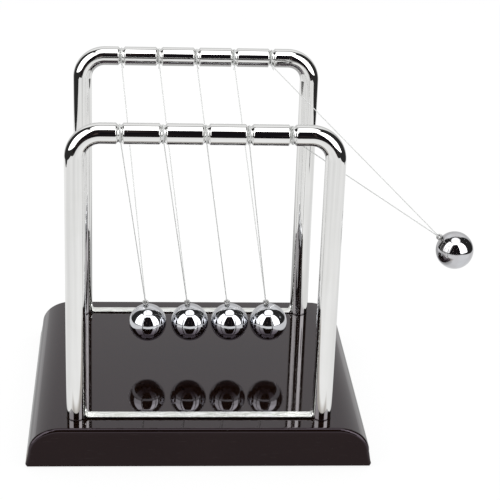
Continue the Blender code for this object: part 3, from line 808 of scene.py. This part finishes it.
def tie_bar(end, side):
    """Thin flat strip between the post feet, a little wavy from the brazing
    heat, with a narrow run of braze that climbs the inner side of each post."""
    centre_y = side * FOOT_Y
    bottom = FOOT_Z + STRIP_LIFT[side]
    section = strip_section(bottom)
    left_run, right_run = (braze_run(*size) for size in BRAZE[side])
    start_x, end_x = -left_run[0][0], right_run[0][0]
    steps = 90
    stations = [(-x, lift, -slope) for x, lift, slope in reversed(left_run)]
    stations += [(start_x + (end_x - start_x) * i / steps, 0.0, 0.0) for i in range(1, steps)]
    stations += right_run

    def wave(x, y):
        """Shallow dents of a hand-straightened strip."""
        u = x / MM
        w = y / MM
        return (0.016 * sin(u * 0.31 + 0.5 * w + side) + 0.011 * sin(u * 0.83 - 0.7 * w + 2.1)
                + 0.007 * sin(u * 1.9 + 1.3 * w)) * MM

    verts, normals, rings = [], [], []
    delta = 0.05 * MM                       # for the slope of the waves
    for x, lift, slope in stations:
        ring = []
        for y, z, normal_y, normal_z in section:
            top = smoothstep(0.5, 1.0, (z - bottom) / STRIP_THICKNESS)
            # the braze is narrower than the strip where it climbs
            pinch = 1.0 - 0.42 * top * (lift / BRAZE_PINCH_HEIGHT)
            dent = wave(x, y) * top if start_x < x < end_x else 0.0
            ring.append(len(verts))
            verts.append(Vector((x, centre_y + y * pinch, z + lift * top + dent)))
            upward = max(0.0, normal_z)
            if lift == 0.0:
                slope_x = (wave(x + delta, y) - wave(x - delta, y)) / (2 * delta)
                slope_y = (wave(x, y + delta) - wave(x, y - delta)) / (2 * delta)
                normal = Vector((-slope_x * upward, normal_y - slope_y * upward, normal_z))
            else:
                tilt = slope * upward * BRAZE_TILT
                normal = Vector((-tilt, normal_y, normal_z * sqrt(max(0.04, 1 - tilt ** 2))))
            normals.append(normal.normalized())
        rings.append(ring)
    name = end + "_tie_bar"
    skin = (verts, loft_faces(rings, closed_section=True), normals)
    add_part(name, merged_mesh(name, skin, sharp_angle=radians(60)), STRIP,
             "stand")


for end, side in ENDS:
    frame_tube(end, side)
for end, side in ENDS:
    tie_bar(end, side)

# -------------------------------------------------------------- balls and lines
BORE_RADIUS, BORE_DEPTH = 1.05 * MM, 5.0 * MM
SINK_RADIUS = 1.55 * MM                     # countersink at the mouth of the bore
# eyelet ring: centre line radius, wire radius, centre above the ball's top
EYE_RADIUS, EYE_WIRE, EYE_HEIGHT = 1.16 * MM, 0.60 * MM, 1.45 * MM
SHANK_DEPTH = 4.4 * MM                      # below the ball's top
SHANK_WIRE = 0.38 * MM
SHANK_RADIUS = 0.36 * MM                    # of the twist's centre lines
SHANK_TWIST = 5.0                           # radians from top to bottom
LINE_BEND = 0.75 * MM                       # radius of the bend in the eyelet
LINE_STOP = 0.85 * MM                       # from the knot's middle
LINE_STATIONS = (0.01, 0.05, 0.2, 0.4, 0.6, 0.8, 0.95, 1.0)    # shares of a straight run
KNOT_SCALE = 0.155 * MM
KNOT_RADIUS = 0.17 * MM
TAIL_START, TAIL_LENGTH, TAIL_BOW = 0.1 * MM, 3.2 * MM, 0.10 * MM
TURNS, TURN_PITCH = 2.0, 0.44 * MM


def sway_turn(number):
    return Matrix.Rotation(-SWAY[number], 3, 'Y')


def swayed(points, number):
    """Points of a plumb pendulum, swung to where it hangs."""
    turn, pivot = sway_turn(number), PIVOTS[number]
    return [turn @ (point - pivot) + pivot for point in points]


def ball_top(number):
    return PIVOTS[number].z - SWING_RADIUS[number] + BALL_RADIUS


def add_pendulum_part(name, skin, number, material, replaced=None):
    add_part(name, skin_mesh(name, skin), material, "pendulum_%d" % number, replaced)


def ball(number):
    """Ball with a countersunk bore from its top."""
    pivot = PIVOTS[number]
    centre = Vector((pivot.x, 0, pivot.z - SWING_RADIUS[number]))
    mouth_angle = asin(SINK_RADIUS / BALL_RADIUS)
    mouth = BALL_RADIUS * cos(mouth_angle)
    # radius, height, radial normal, vertical normal: from the bore's bottom
    profile = [
        (0, mouth - BORE_DEPTH, 0, 1),
        (BORE_RADIUS, mouth - BORE_DEPTH, -0.7, 0.7),
        (BORE_RADIUS, mouth - BORE_DEPTH + 0.2 * MM, -1, 0),
        (BORE_RADIUS, mouth - 0.85 * MM, -1, 0.1),
        (BORE_RADIUS + 0.08 * MM, mouth - 0.70 * MM, -0.8, 0.55),
        (SINK_RADIUS - 0.10 * MM, mouth - 0.12 * MM, -0.8, 0.55),
        (SINK_RADIUS, mouth, 0.0, 1.0)]
    rows = 84
    for k in range(1, rows):
        angle = mouth_angle + (pi - mouth_angle) * k / rows
        profile.append((BALL_RADIUS * sin(angle), BALL_RADIUS * cos(angle),
                        sin(angle), cos(angle)))
    profile.append((0, -BALL_RADIUS, 0, -1))
    verts, faces, normals = turned(profile, 128, centre)
    turn = sway_turn(number)
    skin = (swayed(verts, number), faces, [(turn @ n).normalized() for n in normals])
    add_pendulum_part("ball_%d_polished" % number, skin, number, STEEL[number],
                      "ball_%d" % number)


def eyelet(number):
    """Closed ring bent from wire, its tails twisted down into the bore."""
    x = PIVOTS[number].x
    eye_z = ball_top(number) + EYE_HEIGHT
    steps = 48
    loop = []
    for k in range(steps):
        angle = 2 * pi * k / steps
        loop.append(Vector((x + EYE_RADIUS * sin(angle), 0.0, eye_z + EYE_RADIUS * cos(angle))))
    add_pendulum_part("eyelet_%d_ring" % number,
                      tube(swayed(loop, number), EYE_WIRE, 20, ends="closed"),
                      number, EYELET, "eyelet_%d" % number)

    top = eye_z - EYE_RADIUS + 0.1 * MM
    bottom = ball_top(number) - SHANK_DEPTH
    steps = 30
    tails = []
    for tail in range(2):
        path = []
        for k in range(steps + 1):
            share = k / steps
            angle = tail * pi + share * SHANK_TWIST
            path.append(Vector((x + SHANK_RADIUS * cos(angle), SHANK_RADIUS * sin(angle),
                                top + (bottom - top) * share)))
        tails.append(tube(swayed(path, number), SHANK_WIRE, 12))
    add_pendulum_part("eyelet_%d_shank" % number, joined(tails), number, EYELET)


def line(number):
    """One nylon line: front knot, down through the eyelet, up to the rear."""
    pivot = PIVOTS[number]
    eye_z = ball_top(number) + EYE_HEIGHT
    apex = eye_z + EYE_RADIUS - EYE_WIRE - LINE_RADIUS - 0.06 * MM
    direction = Vector((0, PIVOT_Y, pivot.z - apex)).normalized()
    # a tight bend under the ring's top, then straight to each rail
    half_turn = acos(direction.y)           # how far the line turns from level
    bend = []
    for k in range(13):
        angle = -half_turn + 2 * half_turn * k / 12
        bend.append(Vector((pivot.x, LINE_BEND * sin(angle),
                            apex + LINE_BEND * (1 - cos(angle)))))
    start = bend[-1]
    stop = Vector((pivot.x, PIVOT_Y, pivot.z)) - direction * LINE_STOP
    rear = [start + (stop - start) * share for share in LINE_STATIONS]
    front = [Vector((point.x, -point.y, point.z)) for point in reversed(rear)]
    skin = tube(swayed(front + bend + rear, number), LINE_SKIN_RADIUS, 14, up=Vector((1, 0, 0)))
    add_pendulum_part("line_%d_nylon" % number, skin, number, NYLON,
                      "line_%d" % number)


def knot(number, end, side):
    """Overhand knot pulled tight against the rail, with a short cut tail."""
    pivot = PIVOTS[number]
    middle = Vector((pivot.x, side * PIVOT_Y, pivot.z))
    # the outermost knots turn as their neighbours do
    turn = sway_turn({1: 2, 5: 4}.get(number, number))
    steps = 60
    trefoil = []
    for k in range(steps):
        t = 2 * pi * k / steps
        x = sin(t) + 2 * sin(2 * t)
        y = -1.3 * sin(3 * t)
        z = cos(t) - 2 * cos(2 * t)
        trefoil.append(middle + turn @ (Vector((x, y, z)) * KNOT_SCALE))
    # the cut end of the line, standing out of the knot and curling a little
    aim = Vector((0.22 if number % 2 else -0.22, side * 0.38, -0.9)).normalized()
    sideways = aim.cross(Vector((0, 1, 0))).normalized()
    tail = []
    for k in range(13):
        share = k / 12
        bow = TAIL_BOW * sin(pi * share) * (1 if number in (1, 4) else -1)
        reach = TAIL_START + TAIL_LENGTH * share
        tail.append(middle + turn @ (aim * reach + sideways * bow))
    skin = joined([tube(trefoil, KNOT_RADIUS, 10, ends="closed"), tube(tail, WOUND_RADIUS, 10)])
    name = "%s_knot_%d" % (end, number)
    add_part(name + "_tied", skin_mesh(name + "_tied", skin), NYLON,
             HANGERS[number], name)


def winding(number, end, side):
    """Two tight turns in the groove, the last one lifting towards the knot."""
    steps = 40                              # per turn
    points = []
    for k in range(int(TURNS * steps) + 1):
        turns = k / steps
        angle = -PIVOT_ANGLE + 2 * pi * turns
        offset = (turns - TURNS / 2) * TURN_PITCH
        radius = TUBE_RADIUS - groove_depth(abs(offset)) + 2 * WOUND_RADIUS
        if turns > TURNS - 0.10:
            radius += 0.30 * MM * smoothstep(TURNS - 0.10, TURNS, turns)
        if turns < 0.08:
            radius += 0.18 * MM * (1 - smoothstep(0, 0.08, turns))
        points.append(Vector((PIVOTS[number].x + offset,
                              side * RAIL_Y - side * radius * cos(angle),
                              RAIL_Z + radius * sin(angle))))
    skin = tube(points, WOUND_RADIUS, 10, up=Vector((1, 0, 0)))
    name = "%s_winding_%d" % (end, number)
    add_part(name + "_nylon", skin_mesh(name + "_nylon", skin), NYLON, "stand", name)


for number in BALLS:
    ball(number)
    eyelet(number)
    line(number)
    for end, side in ENDS:
        knot(number, end, side)
        winding(number, end, side)

# ----------------------------------------------------------------------- stage
FLOOR_HALF = 4.0
FLOOR_Z = -0.0002
SHEET_Z = -0.0004
# outline of the white sheet: x, y
SHEET_OUTLINE = ((-0.52, -0.58), (0.56, -0.58), (0.54, -0.05), (0.49, 0.12), (0.43, 0.35),
                 (0.34, 0.9), (-0.34, 0.9), (-0.43, 0.35), (-0.48, 0.12), (-0.51, -0.05))
# upright panel in front: x, y, z
GAP_CORNERS = ((-0.70, -0.90, -0.06), (0.60, -0.90, -0.06), (0.36, -0.90, 1.34),
               (-0.40, -0.90, 1.34))


def staged(name, corners, material):
    """One flat face of the stage."""
    mesh = bpy.data.meshes.new(name)
    mesh.from_pydata(corners, [], [tuple(range(len(corners)))])
    mesh.update()
    mesh.materials.append(material)
    panel = bpy.data.objects.new(name, mesh)
    bpy.context.scene.collection.objects.link(panel)
    return panel


def only_reflected(panel):
    panel.visible_camera = False
    panel.visible_diffuse = False
    panel.visible_transmission = False
    panel.visible_shadow = False
    panel.visible_volume_scatter = False


def floor_material():
    """Plain pale floor: matt white, most of its light its own so that the
    contact shadow stays soft."""
    glow_share = 0.9
    material = bpy.data.materials.new("pale_floor")
    material.use_nodes = True
    tree = material.node_tree
    nodes = Nodes(tree)
    shader = tree.nodes["Principled BSDF"]
    shader.inputs["Base Color"].default_value = (0.93, 0.93, 0.93, 1)
    shader.inputs["Roughness"].default_value = 0.9
    shader.inputs["Specular IOR Level"].default_value = 0.0
    emission = nodes.add("ShaderNodeEmission")
    mixer = nodes.add("ShaderNodeMixShader")
    mixer.inputs[0].default_value = glow_share
    nodes.put(mixer.inputs[1], shader.outputs[0])
    nodes.put(mixer.inputs[2], emission.outputs[0])
    nodes.put(tree.nodes["Material Output"].inputs["Surface"], mixer.outputs[0])
    material.cycles.emission_sampling = 'NONE'
    return material


def glow_material(name, strength, pattern):
    """Light of its own only; pattern(nodes, emission) shapes it."""
    material = bpy.data.materials.new(name)
    material.use_nodes = True
    tree = material.node_tree
    tree.nodes.remove(tree.nodes["Principled BSDF"])
    nodes = Nodes(tree)
    emission = nodes.add("ShaderNodeEmission")
    emission.inputs["Strength"].default_value = strength
    pattern(nodes, emission)
    nodes.put(tree.nodes["Material Output"].inputs["Surface"], emission.outputs[0])
    material.cycles.emission_sampling = 'NONE'
    return material


def sheet_pattern(nodes, emission):
    """White, with a painted shadow of the base: dimmer and warmer close in front of the base."""
    front_y = 0.0806        # the shade is measured forwards from y = -front_y
    behind_limit = -0.02
    place = nodes.add("ShaderNodeNewGeometry").outputs["Position"]
    uneven = nodes.noise(place, scale=2.2)
    split = nodes.add("ShaderNodeSeparateXYZ")
    nodes.put(split.inputs[0], place)
    x, y, _ = split.outputs
    forward = nodes.math('SUBTRACT', nodes.math('MULTIPLY', y, -1.0), front_y)
    behind = nodes.math('LESS_THAN', forward, behind_limit)
    aside = nodes.step(nodes.math('ABSOLUTE', x), low=0.085, high=0.12)
    ahead = nodes.step(forward, low=0.034, high=0.052)
    clear = nodes.math('MAXIMUM', nodes.math('MAXIMUM', ahead, behind), aside)
    # painted shadow of the base: where clear is 0 the sheet's light drops to 0.42 and turns warm
    level = nodes.blend(clear, off=0.42, on=1.0)
    nodes.put(emission.inputs["Color"], nodes.mix(clear, (1.0, 0.94, 0.88), (1.0, 1.0, 1.0)))
    # painted shadow: behind that strip, the sheet is also dimmed between the base's two ends
    beyond = nodes.step(nodes.math('ABSOLUTE', x), low=0.096, high=0.128)
    ends = nodes.blend(beyond, off=0.55, on=1.0)
    level = nodes.math('MULTIPLY', level, nodes.math('MAXIMUM', ends, nodes.inverse(behind)))
    uneven_level = nodes.fit(uneven, to=(0.86, 1.04), source=(0.35, 0.65))
    nodes.put(emission.inputs["Strength"], nodes.math('MULTIPLY', level, uneven_level))


def gap_pattern(nodes, emission):
    """Nearly black with dim brown spots."""
    place = nodes.add("ShaderNodeNewGeometry").outputs["Position"]
    clouds = nodes.noise(nodes.stretch(place, scale=(1.0, 1.0, 0.5)),
                         scale=9.0, detail=5.0, rough=0.62, warp=0.6)
    spots = nodes.step(clouds, low=0.50, high=0.70)
    nodes.put(emission.inputs["Color"],
              nodes.mix(spots, (0.008, 0.007, 0.009), (0.085, 0.062, 0.056)))


floor_corners = [(x * FLOOR_HALF, y * FLOOR_HALF, FLOOR_Z)
                 for x, y in ((-1, -1), (1, -1), (1, 1), (-1, 1))]
floor = staged("floor", floor_corners, floor_material())
floor.visible_glossy = False
# the white sheet the object stands on, as its chrome sees it: wider in front, with the base's
# shadow painted on it
only_reflected(staged("white_sheet", [(x, y, SHEET_Z) for x, y in SHEET_OUTLINE],
                      glow_material("white_sheet", strength=0.9, pattern=sheet_pattern)))
# the dark gap between the two front lights, where the viewer stands
only_reflected(staged("dark_gap", GAP_CORNERS,
                      glow_material("dark_gap", strength=1.0, pattern=gap_pattern)))


# ----------------------------------------------------------------------- world
def backdrop_glow(nodes, x, y, z):
    """An upright white sheet behind the object; returns its mask and level."""
    depth = nodes.math('MAXIMUM', y, 0.001)
    across = nodes.math('DIVIDE', nodes.math('ABSOLUTE', x), depth)
    height = nodes.math('DIVIDE', z, depth)
    mask = nodes.math('MULTIPLY', nodes.inverse(nodes.step(across, low=1.12, high=1.30)),
                      nodes.inverse(nodes.step(height, low=2.45, high=2.75)))
    mask = nodes.math('MULTIPLY', mask, nodes.math('GREATER_THAN', y, 0.0))
    low_sides = nodes.math('MULTIPLY', nodes.step(across, low=0.72, high=0.95),
                           nodes.inverse(nodes.step(height, low=0.05, high=0.22)))
    mask = nodes.math('MULTIPLY', mask, nodes.blend(low_sides, off=1.0, on=0.4))
    # greyer low down, where it is furthest from its lights
    level = nodes.blend(nodes.step(height, low=0.42, high=0.95), off=0.72, on=1.0)
    return nodes.math('MULTIPLY', mask, level)


def top_glow(nodes, y, z):
    """A round patch overhead, a little towards the viewer."""
    elevation = radians(80)
    toward = nodes.math('MULTIPLY_ADD', y, -cos(elevation),
                        nodes.math('MULTIPLY', z, sin(elevation)))
    patch = nodes.step(toward, low=cos(radians(25)), high=cos(radians(22.5)))
    level = 1.9
    return nodes.math('MULTIPLY', patch, level)


def side_glow(nodes, x, y, z):
    """Two upright boxes in front, left and right, brightest in their upper part."""
    elevation = nodes.math('ARCSINE', z)
    left = nodes.math('LESS_THAN', x, 0.0)
    inner_edge = nodes.math('ADD', y, nodes.blend(left, off=0.32, on=0.09))
    box = nodes.math(
        'MULTIPLY', nodes.inverse(nodes.step(inner_edge, low=-0.03, high=0.03)),
        nodes.inverse(nodes.step(elevation, low=radians(56), high=radians(60))))
    box = nodes.math('MULTIPLY', box,
                     nodes.step(elevation, low=radians(-2.5), high=radians(-1)))
    upper = nodes.step(elevation, low=radians(18), high=radians(27))
    box = nodes.math('MULTIPLY', box, nodes.blend(upper, off=1.0, on=1.4))
    return nodes.math('MULTIPLY', box, nodes.blend(left, off=3.2, on=2.3))


def build_world():
    """Reflections see a lit studio; everything else sees plain white."""
    darkest = 0.03
    world = bpy.data.worlds.new("studio")
    bpy.context.scene.world = world
    world.use_nodes = True
    tree = world.node_tree
    tree.nodes.clear()
    nodes = Nodes(tree)
    output = tree.nodes.new("ShaderNodeOutputWorld")
    background = tree.nodes.new("ShaderNodeBackground")
    nodes.put(output.inputs["Surface"], background.outputs[0])
    split = nodes.add("ShaderNodeSeparateXYZ")
    nodes.put(split.inputs[0], nodes.add("ShaderNodeTexCoord").outputs["Generated"])
    x, y, z = split.outputs
    studio = nodes.math('ADD', backdrop_glow(nodes, x, y, z), side_glow(nodes, x, y, z))
    studio = nodes.math('MAXIMUM', studio, top_glow(nodes, y, z))
    studio = nodes.math('MAXIMUM', studio, darkest)
    ray = nodes.add("ShaderNodeLightPath")
    plain = nodes.blend(ray.outputs["Is Camera Ray"], off=1.0, on=1.05)
    strength = nodes.add("ShaderNodeMix", data_type='FLOAT')
    nodes.put(strength.inputs[0], ray.outputs["Is Glossy Ray"])
    nodes.put(strength.inputs[2], plain)
    nodes.put(strength.inputs[3], studio)
    nodes.put(background.inputs["Strength"], strength.outputs[0])
    background.inputs["Color"].default_value = (1, 1, 1, 1)
    world.cycles.sampling_method = 'NONE'


build_world()

# ---------------------------------------------------------------------- lights
# name, place, target, side of the square (metres), power (watts)
LIGHTS = (
    ("soft_left", (-0.9, -0.7, 0.9), (0, 0, 0.06), 0.8, 2.6),
    ("soft_right", (1.0, -0.6, 0.9), (0, 0, 0.06), 0.8, 2.6),
    ("soft_top", (0.0, -0.1, 1.3), (0, 0, 0.0), 1.0, 2.4))


def soft_light(name, place, target, size, power):
    """Area light that is neither seen nor reflected."""
    data = bpy.data.lights.new(name, 'AREA')
    data.shape = 'RECTANGLE'
    data.size = data.size_y = size
    data.energy = power
    light = bpy.data.objects.new(name, data)
    light.location = place
    aim = Vector(target) - Vector(place)
    light.rotation_euler = aim.to_track_quat('-Z', 'Y').to_euler()
    bpy.context.scene.collection.objects.link(light)
    light.visible_glossy = False
    light.visible_camera = False


for light_values in LIGHTS:
    soft_light(*light_values)

# ---------------------------------------------------------------------- camera
CAMERA_PLACE = (-0.036868, -0.841534, 0.435381)
CAMERA_YAW = radians(4.440)                 # from +Y towards +X
CAMERA_PITCH = radians(-22.301)
CAMERA_ROLL = radians(2.058)
SENSOR_WIDTH_MM = 36.0
FOCAL_LENGTH_MM = 120.65256


def add_camera():
    data = bpy.data.cameras.new("camera")
    camera = bpy.data.objects.new("camera", data)
    bpy.context.scene.collection.objects.link(camera)
    data.sensor_width = SENSOR_WIDTH_MM
    data.lens = FOCAL_LENGTH_MM
    data.clip_start = 0.02
    data.clip_end = 30.0
    forward = Vector((sin(CAMERA_YAW) * cos(CAMERA_PITCH),
                      cos(CAMERA_YAW) * cos(CAMERA_PITCH), sin(CAMERA_PITCH)))
    level_right = Vector((cos(CAMERA_YAW), -sin(CAMERA_YAW), 0))
    level_up = level_right.cross(forward)
    right = cos(CAMERA_ROLL) * level_right + sin(CAMERA_ROLL) * level_up
    up = -sin(CAMERA_ROLL) * level_right + cos(CAMERA_ROLL) * level_up
    turn = Matrix((right, up, -forward)).transposed()
    camera.matrix_world = Matrix.Translation(CAMERA_PLACE) @ turn.to_4x4()
    bpy.context.scene.camera = camera


add_camera()
bpy.context.scene.view_settings.view_transform = 'Standard'
bpy.context.scene.view_settings.look = 'None'

# ---------------------------------------------------------------------- update
bpy.context.view_layer.update()
